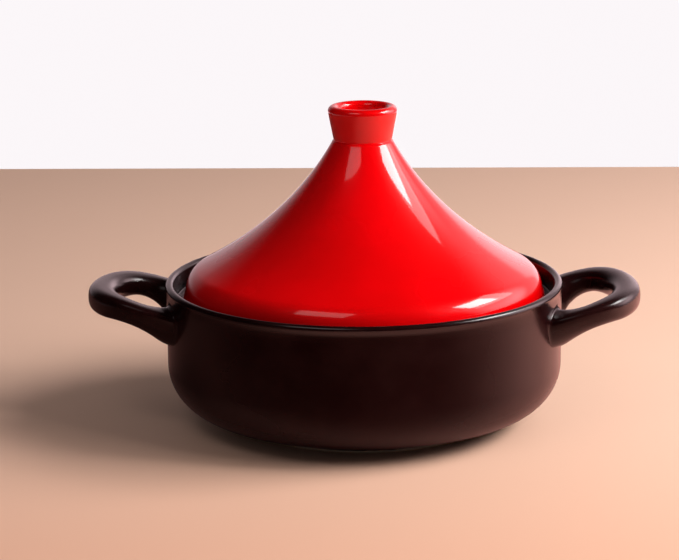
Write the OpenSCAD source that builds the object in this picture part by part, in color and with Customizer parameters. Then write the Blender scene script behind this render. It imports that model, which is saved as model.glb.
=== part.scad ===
// Conical-lidded cooking pot: a bowl with two loop handles and a lift-off lid with a cup knob.
// Millimetres, +Z up, the bowl stands on Z = 0 and the handles lie along X.

/* [Bowl] */
// height of the bowl to the top of the rim
pot_h = 87; // [80:1:100]
// outside diameter of the straight wall
wall_d = 239; // [225:1:260]
// thickness of the wall
wall_t = 8; // [7:0.5:9]
// radius of the curve between the wall and the underside
knuckle_r = 30; // [27:0.5:32]
// rise of the underside from the foot outwards, degrees
under_slope = 17.4; // [15:0.2:20]
// diameter of the foot ring
foot_d = 152; // [140:1:160]
// height of the foot ring
foot_h = 1.6; // [1:0.1:2.4]
// width of the foot ring
foot_w = 8; // [6:0.5:12]
// height of the cooking floor above the table
floor_z = 12; // [11:0.5:14]
// radius of the curve between the wall and the cooking floor
floor_round = 25.5; // [20:0.5:28]

/* [Rim and ledge] */
// radius of the rolled rim
rim_r = 2.5; // [2:0.1:3]
// how far the rolled rim stands out from the wall
rim_out = 0.5; // [0.3:0.1:0.9]
// depth of the ledge below the top of the rim
ledge_drop = 12.5; // [11:0.5:15]
// width of the ledge the lid stands on
ledge_w = 9; // [8:0.5:10]
// thickness of the ledge at its inner edge
ledge_t = 3; // [2.5:0.5:4]
// height of the slope that carries the ledge
ledge_run = 11; // [8:0.5:14]
// rounding of the ledge's inner edge
ledge_round = 1.2; // [0.8:0.1:1.4]
// radius of the corner behind the lid edge
well_round = 1.5; // [0.8:0.1:2]
// how far the rim overhangs that corner
rim_lap = 0.8; // [0.5:0.1:1.5]

/* [Handles] */
// reach of a handle beyond the wall
reach = 47.6; // [44:0.4:52]
// width across the two arms of a handle where they are furthest apart
span = 103; // [97:0.4:108]
// distance from the wall at which they are furthest apart
bulge = 6.7; // [4:0.1:10]
// how much closer to the middle each arm is where it meets the wall
pinch = 5; // [2:0.2:7]
// width of the grip bar seen from above
bar_w = 16; // [14:0.5:18]
// how far the top of the grip lies below the top of the rim
grip_drop = 1.6; // [0.5:0.1:5]
// thickness of the grip bar from top to bottom
bar_h = 14.9; // [13.5:0.1:16.5]
// roundness of the bar's corners, 1 is an ellipse
bar_round = 0.7; // [0.4:0.05:0.9]
// how far the arms drop between the grip and the wall, upper side
arm_drop = 10.1; // [8:0.1:12]
// distance from the wall at which that drop begins
arm_run = 40.5; // [36:0.5:44]
// how far the arms drop between the grip and the wall, lower side
belly_drop = 13.6; // [11:0.2:16]
// distance from the wall at which that drop begins
belly_run = 28; // [24:0.5:32]
// distance from the wall at which the grip starts to narrow into an arm
taper_run = 30.5; // [26:0.5:34]
// how much wider the top of an arm is than the grip
arm_gain = 1.5; // [0:0.1:2.5]
// how much narrower the underside of an arm is than the grip
arm_loss = 1.2; // [0:0.2:4]
// how far the underside of an arm leans inwards
arm_lean = 6.6; // [5:0.2:8]
// radius of the blend where an arm meets the wall
blend = 3.6; // [2:0.2:5]
// distance from the wall at which the blend begins
blend_run = 23; // [16:1:26]
// how far behind the widest point of the wall the arms are rooted
root_in = 9.5; // [8.5:0.5:10.5]
// turn of a handle about the line it sticks out along, degrees
handle_twist = 1.5; // [0:0.1:2]

/* [Lid] */
// gap between the lid and the rim it passes through
lid_gap = 7.2; // [5:0.2:9]
// how far the lid edge flares out below the rim
lid_flare = 2.9; // [2:0.1:3.4]
// height of the lid's upright edge
edge_h = 7.2; // [6:0.2:9]
// rounding of the lid's bottom edge
edge_round = 1.5; // [1:0.1:2]
// radius of the shoulder between the edge and the cone
shoulder_r = 15; // [12:0.5:17]
// slope of the cone at the shoulder, degrees
shoulder_slope = 28.4; // [26:0.2:31]
// how far the shoulder slope is carried up the cone
shoulder_pull = 30; // [24:0.5:34]
// slope of the cone at the neck, degrees
neck_slope = 58.4; // [56:0.2:62]
// how far the neck slope is carried down the cone
neck_pull = 44.4; // [38:0.2:50]
// height of the lid from its edge to the neck
lid_h = 95.2; // [88:0.4:104]
// diameter of the neck
neck_d = 36.7; // [35:0.1:39]
// thickness of the lid
lid_t = 6; // [5:0.5:6.5]
// gap under the lid edge on the ledge
seat_gap = 0.3; // [0.3:0.1:0.6]

/* [Knob] */
// height of the knob
knob_h = 23.1; // [19.9:0.2:27.1]
// diameter across the lip of the knob
knob_d = 41.8; // [38:0.2:46]
// radius of the hollow between the cone and the knob
neck_round = 3; // [2:0.5:6]
// how far the wall of the knob leans out, degrees
knob_flare = 11; // [9:0.5:13]
// radius of the rounded lip
lip_r = 3.4; // [2.6:0.1:4]
// depth of the cup in the knob
cup_depth = 14.5; // [10:0.5:16]
// thickness of the knob at the bottom of the cup
cup_wall = 4.5; // [3.5:0.5:6]
// radius of the corner at the bottom of the cup
cup_round = 3; // [2:0.5:5]

/* [Hidden] */
$fn = 96;
wall_r = wall_d / 2;
rim_c = wall_r + rim_out - rim_r;
rim_z = pot_h - rim_r;
inner_r = wall_r - wall_t;
ledge_z = pot_h - ledge_drop;
well_r = rim_c - rim_r - rim_lap;
foot_r = foot_d / 2;
knuckle_x = wall_r - knuckle_r;
knuckle_z = foot_h + knuckle_r / cos(under_slope) + (knuckle_x - foot_r) * tan(under_slope);
black = [0.10, 0.08, 0.08];
red = [0.78, 0.05, 0.06];

// points of an arc about (cx, cy) from angle a to angle b, in n steps
function arc(cx, cy, r, a, b, n) =
    [for (i = [0:n]) [cx + r * cos(a + (b - a) * i / n), cy + r * sin(a + (b - a) * i / n)]];

function bezier(p, t) =
    pow(1 - t, 3) * p[0] + 3 * pow(1 - t, 2) * t * p[1] + 3 * (1 - t) * t * t * p[2] + pow(t, 3) * p[3];

function bezier_dir(p, t) =
    pow(1 - t, 2) * (p[1] - p[0]) + 2 * (1 - t) * t * (p[2] - p[1]) + t * t * (p[3] - p[2]);

// half section of the bowl, from the middle of the underside outwards and back over the rim
bowl_outside = concat(
    [[0, foot_h], [foot_r - foot_w - 1, foot_h], [foot_r - foot_w, 0], [foot_r, 0], [foot_r, foot_h]],
    arc(knuckle_x, knuckle_z, knuckle_r, under_slope - 90, 0, 12),
    arc(rim_c, rim_z, rim_r, -acos((wall_r - rim_c) / rim_r), 180, 12));

bowl_inside = concat(
    arc(well_r - well_round, ledge_z + well_round, well_round, 0, -90, 4),
    arc(well_r - ledge_w + ledge_round, ledge_z - ledge_round, ledge_round, 90, 180, 4),
    [[well_r - ledge_w, ledge_z - ledge_t]],
    [[inner_r, ledge_z - ledge_t - ledge_run]],
    arc(inner_r - floor_round, floor_z + floor_round, floor_round, 0, -90, 12),
    [[0, floor_z]]);

module pot_bowl() {
    color(black)
        rotate_extrude()
            polygon(concat(bowl_outside, bowl_inside));
}

// A handle is lofted through ring sections along a loop that leaves the wall, runs round and returns.
ring_pts = 20;
loop_n = 52;
stem_n = 8;
root_x = wall_r - root_in;
wide_x = wall_r + bulge;
tip_x = wall_r + reach - bar_w / 2;
half_y = span / 2 - (bar_w + arm_gain) / 2;
grip_z = pot_h - grip_drop;
bend = 2.08;

function loop_y(a) = half_y * sign(a) * pow(abs(sin(a)), 2 / bend);
function loop_at(a) = [wide_x + (tip_x - wide_x) * pow(abs(cos(a)), 2 / bend), loop_y(a)];

// a point of an arm between the wall at 0 and the widest place at 1, on the side s
function arm_at(t, s) = [root_x + (wide_x - root_x) * t, s * (half_y - pinch * (1 - t) * (1 - t))];

path = concat(
    [for (i = [-2:stem_n - 1]) arm_at(i / stem_n, -1)],
    [for (i = [0:loop_n]) loop_at(-90 + 180 * i / loop_n)],
    [for (i = [stem_n - 1:-1:-2]) arm_at(i / stem_n, 1)]);
rings = len(path);

// upper and lower side of the handle at a distance x from the middle of the pot
function top_z(x) = grip_z - arm_drop * pow(max(0, wall_r + arm_run - x) / arm_run, 1.8);
function low_z(x) =
    grip_z - bar_h - belly_drop * (1 + cos(180 * clamp((x - root_x) / (belly_run + root_in)))) / 2;

function clamp(t) = min(1, max(0, t));

// 1 in the arms, falling to 0 in the grip
function arm(x) = let (t = clamp((x - wall_r) / taper_run)) 1 - t * t * (3 - 2 * t);

// a point turned about the line that the handle sticks out along
axis_z = grip_z - 0.7 * bar_h;
function twist(x, y, z) =
    [x, y * cos(handle_twist) - z * sin(handle_twist), axis_z + y * sin(handle_twist) + z * cos(handle_twist)];

function blend_at(p) = blend * pow(1 - clamp((norm(p) - wall_r) / blend_run), 2);

// unit rounded square, corner by corner
function corner(k, a) =
    let (m = 1 - bar_round, cx = (k == 0 || k == 3) ? m : -m, cy = (k < 2) ? m : -m)
    [cx + bar_round * cos(90 * k + a), cy + bar_round * sin(90 * k + a)];
unit_ring = [for (k = [0:3]) for (j = [0:4]) corner(k, 22.5 * j)];

function ring(i) =
    let (
        p = path[i],
        d = path[min(i + 1, rings - 1)] - path[max(i - 1, 0)],
        nrm = [d[1], -d[0]] / norm(d),
        k = arm(p[0]),
        f = blend_at(p))
    [for (u = unit_ring)
        let (
            lift = (u[1] + 1) / 2,
            w = bar_w + (arm_gain * lift - arm_loss * (1 - lift)) * k + 2 * f,
            q = -arm_lean * k * (1 - lift) + u[0] * w / 2,
            xy = p + nrm * q,
            lo = low_z(p[0]) - f,
            hi = top_z(xy[0]) + f)
        twist(xy[0], xy[1], lo + (hi - lo) * lift - axis_z)];

loft_pts = [for (i = [0:rings - 1]) each ring(i)];
loft_faces = concat(
    [for (i = [0:rings - 2]) for (j = [0:ring_pts - 1])
        let (a = i * ring_pts + j, b = i * ring_pts + (j + 1) % ring_pts)
        [a, b, b + ring_pts]],
    [for (i = [0:rings - 2]) for (j = [0:ring_pts - 1])
        let (a = i * ring_pts + j, b = i * ring_pts + (j + 1) % ring_pts)
        [a, b + ring_pts, a + ring_pts]],
    [[for (j = [ring_pts - 1:-1:0]) j]],
    [[for (j = [0:ring_pts - 1]) (rings - 1) * ring_pts + j]]);

module loop_handle() {
    color(black)
        difference() {
            polyhedron(loft_pts, loft_faces);
            cylinder(h = pot_h, r = wall_r);
        }
}

module handle_right() {
    loop_handle();
}

module handle_left() {
    rotate([0, 0, 180])
        loop_handle();
}

// outside of the cone: a curve from the shoulder to the neck
lid_r = rim_c - rim_r - lid_gap;
edge_z = ledge_z + seat_gap;
shoulder_z = edge_z + edge_h;
neck_r = neck_d / 2;
neck_z = edge_z + lid_h;
cone_start = [
    lid_r - shoulder_r + shoulder_r * sin(shoulder_slope),
    shoulder_z + shoulder_r * cos(shoulder_slope)];
cone_curve = [
    cone_start,
    cone_start + shoulder_pull * [-cos(shoulder_slope), sin(shoulder_slope)],
    [neck_r, neck_z] + neck_pull * [cos(neck_slope), -sin(neck_slope)],
    [neck_r, neck_z]];
cone_n = 24;
inner_end = 0.98;

function cone_inside(t) =
    let (d = bezier_dir(cone_curve, t)) bezier(cone_curve, t) + lid_t * [-d[1], d[0]] / norm(d);

lid_section = concat(
    arc(lid_r + lid_flare - edge_round, edge_z + edge_round, edge_round, -90, 0, 4),
    arc(lid_r - shoulder_r, shoulder_z, shoulder_r, 0, 90 - shoulder_slope, 8),
    [for (i = [1:cone_n]) bezier(cone_curve, i / cone_n)],
    [[0, neck_z]],
    [[0, cone_inside(inner_end)[1]]],
    [for (i = [cone_n:-1:1]) cone_inside(inner_end * i / cone_n)],
    arc(lid_r - shoulder_r, shoulder_z, shoulder_r - lid_t, 90 - shoulder_slope, 0, 6),
    arc(lid_r + lid_flare - lid_t + edge_round, edge_z + edge_round, edge_round, 180, 270, 4));

module lid_shell() {
    color(red)
        rotate_extrude()
            polygon(lid_section);
}

hollow_x = neck_r + neck_round * sin(neck_slope);
hollow_z = neck_z + neck_round * cos(neck_slope);
lip_c = knob_d / 2 - lip_r;
lip_z = neck_z + knob_h - lip_r;
cup_z = neck_z + knob_h - cup_depth;
cup_r = hollow_x - neck_round - cup_wall;

module lid_knob() {
    color(red)
        rotate_extrude()
            polygon(concat(
                [[0, neck_z]],
                arc(hollow_x, hollow_z, neck_round, 270 - neck_slope, 180 - knob_flare, 6),
                arc(lip_c, lip_z, lip_r, -knob_flare, 180, 12),
                arc(cup_r - cup_round, cup_z + cup_round, cup_round, 0, -90, 5),
                [[0, cup_z]]));
}

pot_bowl();
handle_left();
handle_right();
lid_shell();
lid_knob();
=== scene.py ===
from math import acos, atan, cos, degrees, hypot, pi, radians, sin, sqrt, tan

import bmesh
import bpy
from mathutils import Matrix, Vector


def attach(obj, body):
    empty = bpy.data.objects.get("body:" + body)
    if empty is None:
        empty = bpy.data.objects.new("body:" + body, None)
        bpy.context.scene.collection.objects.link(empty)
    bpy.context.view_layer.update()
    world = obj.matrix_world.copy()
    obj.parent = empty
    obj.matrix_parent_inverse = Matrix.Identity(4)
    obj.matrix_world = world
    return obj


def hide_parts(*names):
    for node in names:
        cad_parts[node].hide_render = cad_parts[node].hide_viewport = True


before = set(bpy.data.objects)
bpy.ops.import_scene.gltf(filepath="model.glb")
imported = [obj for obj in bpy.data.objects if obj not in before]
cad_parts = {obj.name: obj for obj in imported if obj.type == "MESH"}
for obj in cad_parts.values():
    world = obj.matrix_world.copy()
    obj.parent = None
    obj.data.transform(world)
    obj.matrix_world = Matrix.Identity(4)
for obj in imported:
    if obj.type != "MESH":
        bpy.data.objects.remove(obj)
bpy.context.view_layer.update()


# --- The bowl -------------------------------------------------------------------------------
# A heavy stoneware bowl, jiggered in one with its foot ring, rolled rim and the inner ledge
# that carries the lid. Satin black glaze all over, wiped off the foot ring before firing.
MM = 0.001


def arc(x, z, r, start, end, n):
    """Points of an arc in a profile: centre and radius in mm, angles in degrees."""
    angles = [radians(start + (end - start) * i / n) for i in range(n + 1)]
    return [(x + r * cos(a), z + r * sin(a)) for a in angles]


def settle(bm, name):
    """Finishes a mesh as a smooth object that stands where it was made."""
    for face in bm.faces:
        face.smooth = True
    mesh = bpy.data.meshes.new(name)
    bm.to_mesh(mesh)
    bm.free()
    piece = bpy.data.objects.new(name, mesh)
    bpy.context.collection.objects.link(piece)
    return piece


def throw(profile, steps=192):
    """Spins a profile of (radius, height) points in mm round the pot's axis."""
    bm = bmesh.new()
    points = [bm.verts.new((r * MM, 0, z * MM)) for r, z in profile]
    edges = [bm.edges.new(pair) for pair in zip(points, points[1:])]
    bmesh.ops.spin(bm, geom=points + edges, cent=(0, 0, 0), axis=(0, 0, 1), angle=2 * pi,
                   steps=steps, use_merge=True)
    bmesh.ops.remove_doubles(bm, verts=bm.verts, dist=1e-6)
    bmesh.ops.recalc_face_normals(bm, faces=bm.faces)
    return bm


class Value:
    """A shader socket that adds Math nodes where it is used in an expression."""

    def __init__(self, finish, socket):
        self.finish, self.socket = finish, socket

    def math(self, operation, a, b):
        return self.finish.node("ShaderNodeMath", {"operation": operation}, {0: a, 1: b})

    def __add__(self, other):
        return self.math("ADD", self, other)

    def __sub__(self, other):
        return self.math("SUBTRACT", self, other)

    def __rsub__(self, other):
        return self.math("SUBTRACT", other, self)

    def __mul__(self, other):
        return self.math("MULTIPLY", self, other)

    __radd__, __rmul__ = __add__, __mul__


class Finish:
    """The shader of a new material, or of the world, and the nodes that vary it."""

    def __init__(self, owner, fixed, shader="Principled BSDF", place="Object"):
        owner.use_nodes = True
        self.material, self.tree = owner, owner.node_tree
        self.surface = self.tree.nodes[shader]
        self.set(self.surface, fixed)
        self.place = self.node("ShaderNodeTexCoord", output=place)

    def set(self, node, sockets):
        """Gives a node's sockets their numbers and colours, or links values to them."""
        for key, value in sockets.items():
            if isinstance(value, Value):
                self.tree.links.new(value.socket, node.inputs[key])
            else:
                node.inputs[key].default_value = value

    def node(self, kind, settings=None, sockets=None, output=0):
        """Adds a node, its settings first and then its sockets, and gives one output."""
        made = self.tree.nodes.new(kind)
        for key, value in (settings or {}).items():
            setattr(made, key, value)
        self.set(made, sockets or {})
        return Value(self, made.outputs[output])

    def along(self, axis):
        """How far a point lies along X, Y or Z, which are axis 0, 1 and 2."""
        return self.node("ShaderNodeSeparateXYZ", sockets={0: self.place}, output=axis)

    def cloud(self, scale, detail=2.0, roughness=0.5):
        """Soft noise from 0 to 1, scale in patches per metre."""
        sockets = {"Vector": self.place, "Scale": scale, "Detail": detail,
                   "Roughness": roughness}
        return self.node("ShaderNodeTexNoise", sockets=sockets)

    def ramp(self, value, low, high, bottom=0.0, top=1.0):
        """Takes value from low..high smoothly to bottom..top."""
        sockets = {0: value, 1: low, 2: high, 3: bottom, 4: top}
        return self.node("ShaderNodeMapRange", {"interpolation_type": "SMOOTHSTEP"}, sockets)

    def tint(self, mask, a, b):
        """Colour a where mask is 0, colour b where it is 1."""
        # Sockets 6 and 7 and output 2 are the Mix node's colours.
        a, b = (c if isinstance(c, Value) else (*c, 1) for c in (a, b))
        return self.node("ShaderNodeMix", {"data_type": "RGBA"}, {0: mask, 6: a, 7: b}, 2)

    def bump(self, height, distance, strength=1.0):
        """Raises the surface by a height from 0 to 1 times a distance in metres."""
        sockets = {"Height": height, "Distance": distance, "Strength": strength}
        self.set(self.surface, {"Normal": self.node("ShaderNodeBump", sockets=sockets)})


# All in mm: R is a radius, Z a height above the table, W a width and T a thickness. A ROW
# only places a ring of the mesh.
WALL_R, WALL_ROWS = 119.5, range(44, 77, 8)
FOOT_R, FOOT_H, FOOT_W, FOOT_ROUND = 76.0, 1.6, 8.0, 0.8
UNDER_SLOPE, CREASE_R, CREASE_OUT, CREASE_UP = 17.4, 0.35, 0.4, 0.02
KNUCKLE_R = 30.0
RIM_R, RIM_C, RIM_Z = 2.5, 117.5, 84.5
WELL_R, WELL_FLARE, WELL_RISE, WELL_ROUND, WELL_DRAFT = 114.2, 0.4, 4.0, 1.5, 0.3
LEDGE_Z, LEDGE_W, LEDGE_T, LEDGE_ROUND = 74.5, 9.0, 3.4, 1.2
UNDER_LEDGE, UNDER_ROUND, CORBEL_ROUND = 16.0, 0.8, 6.0
INNER_R, INNER_ROWS = 111.5, range(54, 41, -6)
FLOOR_Z, FLOOR_ROUND, FLOOR_ROWS = 12.0, 25.5, (60, 30, 0)
FLAT_ROW = 6.0

foot_in, ledge_in = FOOT_R - FOOT_W, WELL_R - LEDGE_W
knuckle_x = WALL_R - KNUCKLE_R
knuckle_z = (FOOT_H + KNUCKLE_R / cos(radians(UNDER_SLOPE))
             + (knuckle_x - FOOT_R) * tan(radians(UNDER_SLOPE)))
rim_turn = degrees(acos((WALL_R - RIM_C) / RIM_R))
foot_profile = (
    [(0, FOOT_H), (foot_in - FLAT_ROW, FOOT_H)]
    + arc(foot_in - 2 * FOOT_ROUND, FOOT_H - FOOT_ROUND, FOOT_ROUND, 90, 0, 5)
    + arc(foot_in + FOOT_ROUND, FOOT_ROUND, FOOT_ROUND, 180, 270, 5)
    + arc(FOOT_R - FOOT_ROUND, FOOT_ROUND, FOOT_ROUND, -90, 0, 5)
    + arc(FOOT_R + CREASE_OUT, FOOT_H + CREASE_UP, CREASE_R, 180, 90 + UNDER_SLOPE, 4))
wall_profile = (
    arc(knuckle_x, knuckle_z, KNUCKLE_R, UNDER_SLOPE - 90, 0, 28)
    + [(WALL_R, z) for z in WALL_ROWS]
    + arc(RIM_C, RIM_Z, RIM_R, -rim_turn, 180, 24))
ledge_profile = (
    [(WELL_R + WELL_FLARE, LEDGE_Z + WELL_RISE)]
    + arc(WELL_R + WELL_DRAFT - WELL_ROUND, LEDGE_Z + WELL_ROUND, WELL_ROUND, 0, -90, 8)
    + arc(ledge_in + LEDGE_ROUND, LEDGE_Z - LEDGE_ROUND, LEDGE_ROUND, 90, 180, 8)
    + arc(ledge_in + UNDER_ROUND, LEDGE_Z - LEDGE_T, UNDER_ROUND, 180, 220, 4)
    + arc(INNER_R - CORBEL_ROUND, LEDGE_Z - UNDER_LEDGE, CORBEL_ROUND, 35, 0, 6))
inside_profile = (
    [(INNER_R, z) for z in INNER_ROWS]
    + arc(INNER_R - FLOOR_ROUND, FLOOR_Z + FLOOR_ROUND, FLOOR_ROUND, 0, -90, 24)
    + [(r, FLOOR_Z) for r in FLOOR_ROWS])

BARE_CLAY, GRIT = (0.50, 0.40, 0.31), (1400, 4, 0.7)
BLACK_DEEP, BLACK_THIN = (0.0085, 0.0010, 0.0012), (0.015, 0.0040, 0.0040)
# Heights in metres: where the glaze thins, where the rim's gloss sets in, the wiped line.
THIN_TO, RIM_GLOSS, WIPED_LINE = 0.040, (0.0805, 0.0830), (0.0015, 0.0012)


def black_glaze(name, wiped_foot):
    """Satin black glaze over buff stoneware, wiped off the foot where wiped_foot is set."""
    glaze = Finish(bpy.data.materials.new(name),
                   {"Specular IOR Level": 0.02, "Coat Roughness": 0.20})
    pool = glaze.ramp(glaze.cloud(26, 3), 0.35, 0.68)
    pits = glaze.ramp(glaze.cloud(900, 2), 0.66, 0.80)
    colour = glaze.tint(pool, BLACK_DEEP, BLACK_THIN)
    roughness = 0.30 + pool * 0.05 + pits * 0.10
    aside = glaze.node("ShaderNodeLayerWeight", sockets={"Blend": 0.5}, output="Facing")
    # The gloss grows towards a slanting view, as on satin, and is weakest low on the wall.
    if wiped_foot:
        height = glaze.along(2)
        satin = glaze.ramp(aside, 0.04, 0.50, 0.03, 0.85)
        satin = satin * glaze.ramp(height, 0.0, THIN_TO, 0.25, 1.0)
        coat = satin + (1 - satin) * glaze.ramp(height, *RIM_GLOSS)
        bare = glaze.ramp(height + glaze.cloud(140, 2) * 0.0004, *WIPED_LINE)
        clay = glaze.tint(glaze.cloud(*GRIT), [c * 0.86 for c in BARE_CLAY], BARE_CLAY)
        colour = glaze.tint(bare, colour, clay)
        roughness = roughness + bare * 0.55
        coat = coat * (1 - bare)
    else:
        coat = glaze.ramp(aside, 0.05, 0.40, 0.25, 1.0)
    glaze.set(glaze.surface, {"Base Color": colour, "Roughness": roughness,
                              "Coat Weight": coat * (1 - pool * 0.10)})
    glaze.bump(glaze.cloud(70, 2) * 0.7 + glaze.cloud(420, 2) * 0.3 - pits * 0.25, 0.00006)
    return glaze.material


bowl = settle(throw(foot_profile + wall_profile + ledge_profile + inside_profile),
              "glazed_bowl")
bowl.data.materials.append(black_glaze("satin_black_glaze_bowl", True))
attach(bowl, "pot")
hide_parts("pot_bowl")


# --- The two loop handles -------------------------------------------------------------------
# Cast stoneware loops, luted to the wall while leather-hard and blended in with slip. The bar
# is thick and soft-shouldered at the grip; the arms drop, lean in and swell into the wall.
REACH, SPAN, BAR_W, BAR_H, BAR_SHAPE = 47.6, 103.0, 16.8, 15.6, 2.8
BULGE, PINCH, ROOT_IN, BEND = 6.7, 6.5, 9.5, 2.08
GRIP_Z, ARM_DROP, ARM_RUN, DROP_CURVE = 85.4, 10.1, 40.5, 1.8
BELLY_DROP, BELLY_RUN = 13.6, 28.0
TAPER_RUN, ARM_GAIN, ARM_LOSS, ARM_LEAN = 30.5, 1.5, 1.2, 6.6
BLEND, BLEND_RUN, SIDE_BLEND, FOLLOW_RUN = 3.6, 23.0, 1.3, 13.0
ROOT_FILLET, INNER_FILLET = 2.6, 6.0
TWIST, AXIS_Z = radians(1.5), 75.0
# Rings of the mesh: steps out from the wall along an arm, then even turns round the loop.
ARM_STEPS = (-1.2, 0, 0.15, 0.4, 0.8, 1.4, 2.1, 3, 4.2, 5.8, 7.6, 9.4, 11.4)
LOOP_STEPS, RING_POINTS = 76, 40
root_x, wide_x, tip_x = WALL_R - ROOT_IN, WALL_R + BULGE, WALL_R + REACH - BAR_W / 2
half_y = SPAN / 2 - (BAR_W + ARM_GAIN) / 2


def clamp(value):
    """Holds a value between 0 and 1."""
    return min(1.0, max(0.0, value))


def ease(value):
    """Takes 0..1 to 0..1 with a soft start and end."""
    return clamp(value) ** 2 * (3 - 2 * clamp(value))


def wall_x(y):
    """How far out the round wall lies at a distance y from the handle's middle."""
    return sqrt(WALL_R ** 2 - min(abs(y), WALL_R - 1) ** 2)


def arm_y(x):
    """Half the distance between the arms, from the wall to where they are widest apart."""
    return half_y - PINCH * ((wide_x - x) / (wide_x - root_x)) ** 2


def loop_point(angle):
    """A point of the loop beyond the arms, from -pi/2 at one arm to pi/2 at the other."""
    x = wide_x + (tip_x - wide_x) * abs(cos(angle)) ** (2 / BEND)
    y = half_y * abs(sin(angle)) ** (2 / BEND)
    return x, -y if angle < 0 else y


def bar_path():
    """The middle of the bar seen from above, from the wall round the loop to the wall."""
    touch = wall_x(arm_y(wall_x(half_y - PINCH)))
    stem = [touch + step for step in ARM_STEPS if touch + step < wide_x - 1]
    turns = [radians(-90 + 180 * i / LOOP_STEPS) for i in range(LOOP_STEPS + 1)]
    return ([(x, -arm_y(x)) for x in stem] + [loop_point(turn) for turn in turns]
            + [(x, arm_y(x)) for x in reversed(stem)])


def top_z(x):
    """Height of the bar's upper side, which drops from the grip to the wall."""
    return GRIP_Z - ARM_DROP * (max(0, WALL_R + ARM_RUN - x) / ARM_RUN) ** DROP_CURVE


def low_z(x):
    """Height of the bar's underside, which drops a little more."""
    fall = (1 + cos(pi * clamp((x - root_x) / (BELLY_RUN + ROOT_IN)))) / 2
    return GRIP_Z - BAR_H - BELLY_DROP * fall


def hollow_of(radius, off):
    """How far a fillet of this radius stands out at a distance off the wall."""
    return radius - sqrt(radius ** 2 - max(0.0, radius - off) ** 2)


def shape_ring(ring, side, x, y, nx, ny):
    """Moves a unit circle onto the bar's section at x, y, where nx, ny points outwards."""
    arm = 1 - ease((x - WALL_R) / TAPER_RUN)
    off_wall = max(0.0, x - wall_x(y))
    swell = BLEND * (1 - clamp((hypot(x, y) - WALL_R) / BLEND_RUN)) ** 2
    outer, inner = hollow_of(ROOT_FILLET, off_wall), hollow_of(INNER_FILLET, off_wall)
    follow = 1 - ease(off_wall / FOLLOW_RUN)
    along_wall = wall_x(y) / WALL_R * (1 if ny > 0 else -1)
    for vert in ring:
        u, v = (abs(c) ** (2 / BAR_SHAPE) * (1 if c > 0 else -1) for c in vert.co.xy)
        lift = (v + 1) / 2
        width = BAR_W + (ARM_GAIN * lift - ARM_LOSS * (1 - lift)) * arm + SIDE_BLEND * swell
        across = u * (width / 2 + (outer if u > 0 else inner)) - ARM_LEAN * arm * (1 - lift)
        beside = y + across * along_wall
        px = x + nx * across * (1 - follow) + (wall_x(beside) - wall_x(y)) * follow
        py = (y + ny * across) * (1 - follow) + beside * follow
        low, high = low_z(x) - swell, top_z(px) + swell + outer
        pz = low + (high - low) * lift - AXIS_Z
        py, pz = py * cos(TWIST) - pz * sin(TWIST), py * sin(TWIST) + pz * cos(TWIST)
        vert.co = (side * px * MM, side * py * MM, (AXIS_Z + pz) * MM)


def loop_handle(name, side):
    """Bridges a row of section rings along the bar's path and closes both ends.

    Both handles are the same casting, turned half round; side is 1 or -1.
    """
    path = bar_path()
    bm = bmesh.new()
    last = None
    for i, (x, y) in enumerate(path):
        before, after = path[max(i - 1, 0)], path[min(i + 1, len(path) - 1)]
        dx, dy = after[0] - before[0], after[1] - before[1]
        ring = bmesh.ops.create_circle(bm, cap_ends=False, segments=RING_POINTS,
                                       radius=1)["verts"]
        shape_ring(ring, side, x, y, dy / hypot(dx, dy), -dx / hypot(dx, dy))
        edges = list({edge for vert in ring for edge in vert.link_edges})
        if last:
            bmesh.ops.bridge_loops(bm, edges=last + edges)
        last = edges
    bmesh.ops.holes_fill(bm, edges=[e for e in bm.edges if e.is_boundary], sides=0)
    bmesh.ops.recalc_face_normals(bm, faces=bm.faces)
    handle = settle(bm, name)
    smooth = handle.modifiers.new("smooth", "SUBSURF")
    smooth.levels = smooth.render_levels = 1
    return handle


handle_glaze = black_glaze("satin_black_glaze_handles", False)
for name, side, node in (("loop_handle_left", -1, "handle_left"),
                         ("loop_handle_right", 1, "handle_right")):
    handle = loop_handle(name, side)
    handle.data.materials.append(handle_glaze)
    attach(handle, "pot")
    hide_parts(node)


# --- The conical lid ------------------------------------------------------------------------
# A hollow cone with a curved flank and a soft shoulder, thrown in one. Glossy red glaze
# outside, a pale liner glaze inside, and a bare clay edge where it stands on the ledge.
LID_R, LID_FLARE, LID_T = 107.8, 2.9, 6.0
EDGE_Z, EDGE_ROUND, BARE_H = 74.8, 1.5, 0.9
SHOULDER_R, SHOULDER_Z, SHOULDER_SLOPE, SHOULDER_PULL = 15.0, 82.0, 28.4, 30.0
NECK_R, NECK_Z, NECK_SLOPE, NECK_PULL = 17.75, 172.6, 61.0, 44.3
TOP_ROW, FLANK_STEPS = 2.0, 64
LINING_END, LINING_STEPS = 0.98, 40


def lean(angle, length):
    """A step of this length down a slope of this angle."""
    return Vector((cos(radians(angle)), -sin(radians(angle)))) * length


shoulder_x, shoulder_turn = LID_R - SHOULDER_R, 90 - SHOULDER_SLOPE
cone_top = Vector((NECK_R, NECK_Z))
cone_foot = Vector(arc(shoulder_x, SHOULDER_Z, SHOULDER_R, shoulder_turn, 0, 1)[0])
pulls = (cone_foot, cone_foot - lean(SHOULDER_SLOPE, SHOULDER_PULL),
         cone_top + lean(NECK_SLOPE, NECK_PULL), cone_top)


def flank(t, inset=0.0):
    """A point of the cone's flank, from the shoulder at 0 to the neck at 1.

    The flank is a Bezier curve, and inset moves the point that far into the wall.
    """
    a, b, c, d = pulls
    point = a * (1 - t) ** 3 + b * 3 * t * (1 - t) ** 2 + c * 3 * t * t * (1 - t) + d * t ** 3
    run = (b - a) * (1 - t) ** 2 + (c - b) * 2 * t * (1 - t) + (d - c) * t * t
    return tuple(point + Vector((-run.y, run.x)).normalized() * inset)


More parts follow.
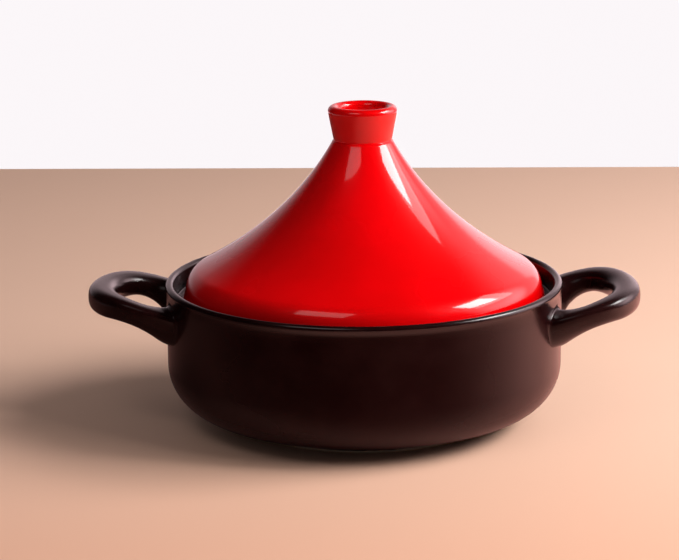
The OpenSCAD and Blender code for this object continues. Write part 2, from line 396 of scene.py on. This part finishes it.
lid_out, lid_in = LID_R + LID_FLARE, LID_R + LID_FLARE - LID_T
lid_profile = (
    arc(lid_out - EDGE_ROUND, EDGE_Z + EDGE_ROUND, EDGE_ROUND, -90, 10, 8)
    + arc(shoulder_x, SHOULDER_Z, SHOULDER_R, 0, shoulder_turn, 22)
    + [flank(i / FLANK_STEPS) for i in range(1, FLANK_STEPS + 1)]
    + [(NECK_R - TOP_ROW, NECK_Z), (0, NECK_Z)])
lining_profile = (
    [(0, flank(LINING_END, LID_T)[1])]
    + [flank(LINING_END * i / LINING_STEPS, LID_T) for i in range(LINING_STEPS, 0, -1)]
    + arc(shoulder_x, SHOULDER_Z, SHOULDER_R - LID_T, shoulder_turn, 0, 12)
    + arc(lid_in + EDGE_ROUND, EDGE_Z + EDGE_ROUND, EDGE_ROUND, 180, 270, 8))

RED_DEEP, RED_THIN = (0.72, 0.0, 0.001), (0.84, 0.0, 0.002)
LINER_DEEP, LINER_THIN, IRON_SPECK = (0.66, 0.58, 0.47), (0.74, 0.67, 0.56), (0.30, 0.19, 0.11)


def red_glaze(name):
    """Glossy red glaze, a little deeper where it has run thick."""
    glaze = Finish(bpy.data.materials.new(name),
                   {"Specular IOR Level": 0.08, "Coat Roughness": 0.06, "Coat IOR": 1.5})
    pool = glaze.ramp(glaze.cloud(18, 3), 0.30, 0.70)
    colour = glaze.tint(pool, RED_THIN, RED_DEEP)
    glaze.set(glaze.surface, {"Base Color": colour, "Roughness": 0.26 + pool * 0.04,
                              "Coat Weight": 1.0 - pool * 0.08})
    glaze.bump(glaze.cloud(32, 2) * 0.8 + glaze.cloud(240, 2) * 0.2, 0.00005)
    return glaze.material


def liner_glaze(name):
    """Thin pale glaze over the buff clay, mottled, with iron specks."""
    glaze = Finish(bpy.data.materials.new(name), {"Specular IOR Level": 0.5})
    specks = glaze.ramp(glaze.cloud(520, 3), 0.68, 0.76)
    colour = glaze.tint(glaze.cloud(30, 3), LINER_DEEP, LINER_THIN)
    colour = glaze.tint(specks * 0.6, colour, IRON_SPECK)
    glaze.set(glaze.surface, {"Base Color": colour, "Roughness": 0.22 + specks * 0.2})
    glaze.bump(glaze.cloud(60, 2), 0.00006)
    return glaze.material


def bare_clay(name):
    """Unglazed buff stoneware with a fine grit."""
    clay = Finish(bpy.data.materials.new(name), {"Specular IOR Level": 0.3})
    grit = clay.cloud(*GRIT)
    colour = clay.tint(grit, [c * 0.82 for c in BARE_CLAY], BARE_CLAY)
    clay.set(clay.surface, {"Base Color": colour, "Roughness": 0.80 + grit * 0.12})
    clay.bump(grit, 0.00008)
    return clay.material


# The lining and the seat take the lid's second and third material, the outside its first.
LINING, SEAT = 1, 2
lid_bm = throw(lining_profile + lid_profile)
for face in lid_bm.faces:
    middle = face.calc_center_median()
    out = middle.xy.length and face.normal.xy.dot(middle.xy.normalized())
    if middle.z < (EDGE_Z + BARE_H) * MM and face.normal.z < -0.2:
        face.material_index = SEAT
    elif out < -0.1 or face.normal.z < -0.9:
        face.material_index = LINING
lid = settle(lid_bm, "glazed_cone_lid")
for material in (red_glaze("glossy_red_glaze_lid"), liner_glaze("pale_liner_glaze"),
                 bare_clay("bare_buff_clay")):
    lid.data.materials.append(material)
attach(lid, "lid")
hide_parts("lid_shell")


# --- The knob -------------------------------------------------------------------------------
# A flared cup with a thick rounded lip, hollow at the top, luted on the neck of the cone with
# a small tight hollow round the joint. It carries the same red glaze as the cone.
KNOB_R, KNOB_H, KNOB_FLARE, LIP_R = 20.9, 20.5, 11.0, 3.4
CUP_DEPTH, CUP_WALL, CUP_ROUND = 14.5, 4.5, 3.0
NECK_ROUND, STEM_ROWS = 0.9, 8
hollow_x = NECK_R + NECK_ROUND * sin(radians(NECK_SLOPE))
hollow_z = NECK_Z + NECK_ROUND * cos(radians(NECK_SLOPE))
lip_x, lip_z = KNOB_R - LIP_R, NECK_Z + KNOB_H - LIP_R
cup_r, cup_z = hollow_x - NECK_ROUND - CUP_WALL, NECK_Z + KNOB_H - CUP_DEPTH
hollow = arc(hollow_x, hollow_z, NECK_ROUND, 270 - NECK_SLOPE, 180 - KNOB_FLARE, 16)
lip = arc(lip_x, lip_z, LIP_R, -KNOB_FLARE, 180, 24)
stem = [tuple(Vector(hollow[-1]).lerp(Vector(lip[0]), i / STEM_ROWS))
        for i in range(1, STEM_ROWS)]
cup = (arc(cup_r - CUP_ROUND, cup_z + CUP_ROUND, CUP_ROUND, 0, -90, 10)
       + [(cup_r - FLAT_ROW, cup_z), (0, cup_z)])
knob = settle(throw([(0, NECK_Z)] + hollow + stem + lip + cup, 128), "cup_knob")
knob.data.materials.append(red_glaze("glossy_red_glaze_knob"))
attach(knob, "lid")
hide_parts("lid_knob")


# --- Floor, light and camera ----------------------------------------------------------------
# A plain floor and a pale surround. A softbox high on the right and two weaker ones nearer
# the front light the pot; its glaze mirrors a window on the right, its glow and a back wall.
LAMP_COLOUR, LAMP_AIM = (1.0, 0.97, 0.96), Vector((0, 0, 0.1))


def toward(azimuth, elevation):
    """The direction of an azimuth, 0 in front and 90 on the right, and an elevation."""
    a, e = radians(azimuth), radians(elevation)
    return Vector((sin(a) * cos(e), -cos(a) * cos(e), sin(e)))


def panel(name, azimuth, elevation, distance, width, height, radiance,
          lights=True, mirrors=True):
    """A softbox that faces the pot, and may only light it or only be mirrored in it."""
    lamp = bpy.data.lights.new(name, "AREA")
    lamp.shape, lamp.size, lamp.size_y = "RECTANGLE", width, height
    lamp.energy = radiance * pi * width * height
    lamp.color = LAMP_COLOUR
    holder = bpy.data.objects.new(name, lamp)
    away = toward(azimuth, elevation)
    holder.location = LAMP_AIM + away * distance
    holder.rotation_euler = away.to_track_quat("Z", "Y").to_euler()
    holder.visible_diffuse, holder.visible_glossy = lights, mirrors
    bpy.context.collection.objects.link(holder)


panel("key_light", 88, 35, 1.5, 1.0, 0.6, 15.6, mirrors=False)
panel("side_fill", 62, 30, 1.6, 0.7, 0.5, 8.4, mirrors=False)
panel("window", 92, 39, 1.5, 0.68, 0.43, 14.5, lights=False)
panel("window_edge", 101, 37, 1.6, 1.10, 0.66, 3.0, lights=False)
panel("front_panel", -31, 49, 1.4, 0.72, 0.48, 1.4)

# The floor runs on past the camera. Seen in the glaze it has a painted reflection colour,
# redder than the floor, and a painted shadow that makes it darker on the left.
FLOOR_HALF, FLOOR_FRONT = 0.795, 1.2
FLOOR_TAN, FLOOR_NEAR_SHADE = (0.86, 0.56, 0.42), (0.80, 0.43, 0.29)
FLOOR_PAINTED_REFLECTION, FLOOR_SHADED = (0.90, 0.41, 0.33), (0.03, 0.005, 0.005)
floor_bm = bmesh.new()
bmesh.ops.create_grid(floor_bm, x_segments=1, y_segments=1, size=FLOOR_HALF)
bmesh.ops.translate(floor_bm, vec=(0, -FLOOR_FRONT, 0),
                    verts=[vert for vert in floor_bm.verts if vert.co.y < 0])
floor = settle(floor_bm, "floor")
paint = Finish(bpy.data.materials.new("pale_floor"),
               {"Roughness": 0.6, "Specular IOR Level": 0.1})
in_mirror = paint.node("ShaderNodeLightPath", output="Is Glossy Ray")
tan_paint = paint.tint(paint.cloud(6, 3), [c * 0.97 for c in FLOOR_TAN], FLOOR_TAN)
# Painted shade: the floor is painted darker and redder towards the front.
tan_paint = paint.tint(paint.ramp(paint.along(1), 0.10, -0.45), tan_paint, FLOOR_NEAR_SHADE)
# Painted shadow and painted reflection: only in the glaze, the floor's left is painted near
# black and the rest redder.
painted_shadow_left = in_mirror * paint.ramp(paint.along(0), 0.0, -0.24, 0, 0.85)
colour = paint.tint(painted_shadow_left, paint.tint(in_mirror, tan_paint, FLOOR_PAINTED_REFLECTION), FLOOR_SHADED)
paint.set(paint.surface, {"Base Color": colour})
floor.data.materials.append(paint.material)

# The surround lights the pot weakly, looks nearly white, and in the glaze it is the room.
AMBIENT, SEEN = 0.155, 0.97
PALE_WALL, WARM_WALL = (1.0, 0.955, 0.975), (1.25, 0.92, 0.97)
WINDOW_GLOW, WALL_LIGHT = toward(105, 27), 0.52
world = bpy.data.worlds.new("pale_surround")
bpy.context.scene.world = world
sky = Finish(world, {}, "Background", "Generated")
camera_ray, glossy_ray, through_ray = (
    sky.node("ShaderNodeLightPath", output="Is " + kind + " Ray")
    for kind in ("Camera", "Glossy", "Transmission"))
across, behind, rise = (sky.along(axis) for axis in range(3))
near_window = sky.node("ShaderNodeVectorMath", {"operation": "DOT_PRODUCT"},
                       {0: sky.place, 1: WINDOW_GLOW}, output="Value")
glow = sky.ramp(near_window, 0.82, 0.99, 0, 3.0) * sky.ramp(rise, 0.15, 0.80, 1, 0)
far_corner = sky.ramp(across, 0.46, 0.36) * sky.ramp(rise, 0.36, 0.28)
wall_light = far_corner * sky.ramp(across, -0.1, 0.2, 0.30, 0.65) + WALL_LIGHT
back_wall = sky.ramp(behind + sky.ramp(across, 0.0, 0.4, 0, 0.55), 0.65, 1.25) * wall_light
back_wall = back_wall * sky.ramp(rise, 0.48, 0.78, 1, 0)
mirrored = glow + back_wall + sky.ramp(rise, -0.16, -0.08, SEEN, 0)
strength = (camera_ray * (SEEN - AMBIENT)
            + (glossy_ray + through_ray) * (mirrored - AMBIENT) + AMBIENT)
sky.set(sky.surface, {"Color": sky.tint(glossy_ray, PALE_WALL, WARM_WALL),
                      "Strength": strength})

# The camera stands 1.6 m from the pot, 13.3 degrees above it, a touch to the right. SCALE
# is in pixels per mm at the pot, and AIM_PX is the pixel on which the point at AIM_Z falls.
SCALE, ASIDE, ABOVE, ROLL = 1.6513, 1.3, 13.316, -0.54
DISTANCE, AIM_Z, SENSOR = 1.6, 0.09, 36
WIDTH, HEIGHT, AIM_PX = 679, 560, (364.4, 273.5)
focal = SCALE * DISTANCE / MM
turn = ASIDE + degrees(atan((AIM_PX[0] - WIDTH / 2) / focal))
tip = ABOVE - degrees(atan((AIM_PX[1] - HEIGHT / 2) / focal))
ahead = -toward(turn, tip)
right = ahead.cross(Vector((0, 0, 1))).normalized()
up = right.cross(ahead)
lens = bpy.data.cameras.new("camera")
lens.sensor_fit, lens.sensor_width = "HORIZONTAL", SENSOR
lens.lens = focal * SENSOR / WIDTH
camera = bpy.data.objects.new("camera", lens)
bpy.context.collection.objects.link(camera)
axes = Matrix((right, up, -ahead)).transposed().to_4x4()
eye = Vector((0, 0, AIM_Z)) + toward(ASIDE, ABOVE) * DISTANCE
camera.matrix_world = (Matrix.Translation(eye) @ axes
                       @ Matrix.Rotation(radians(ROLL), 4, "Z"))
bpy.context.scene.camera = camera
bpy.context.scene.view_settings.view_transform = "Standard"
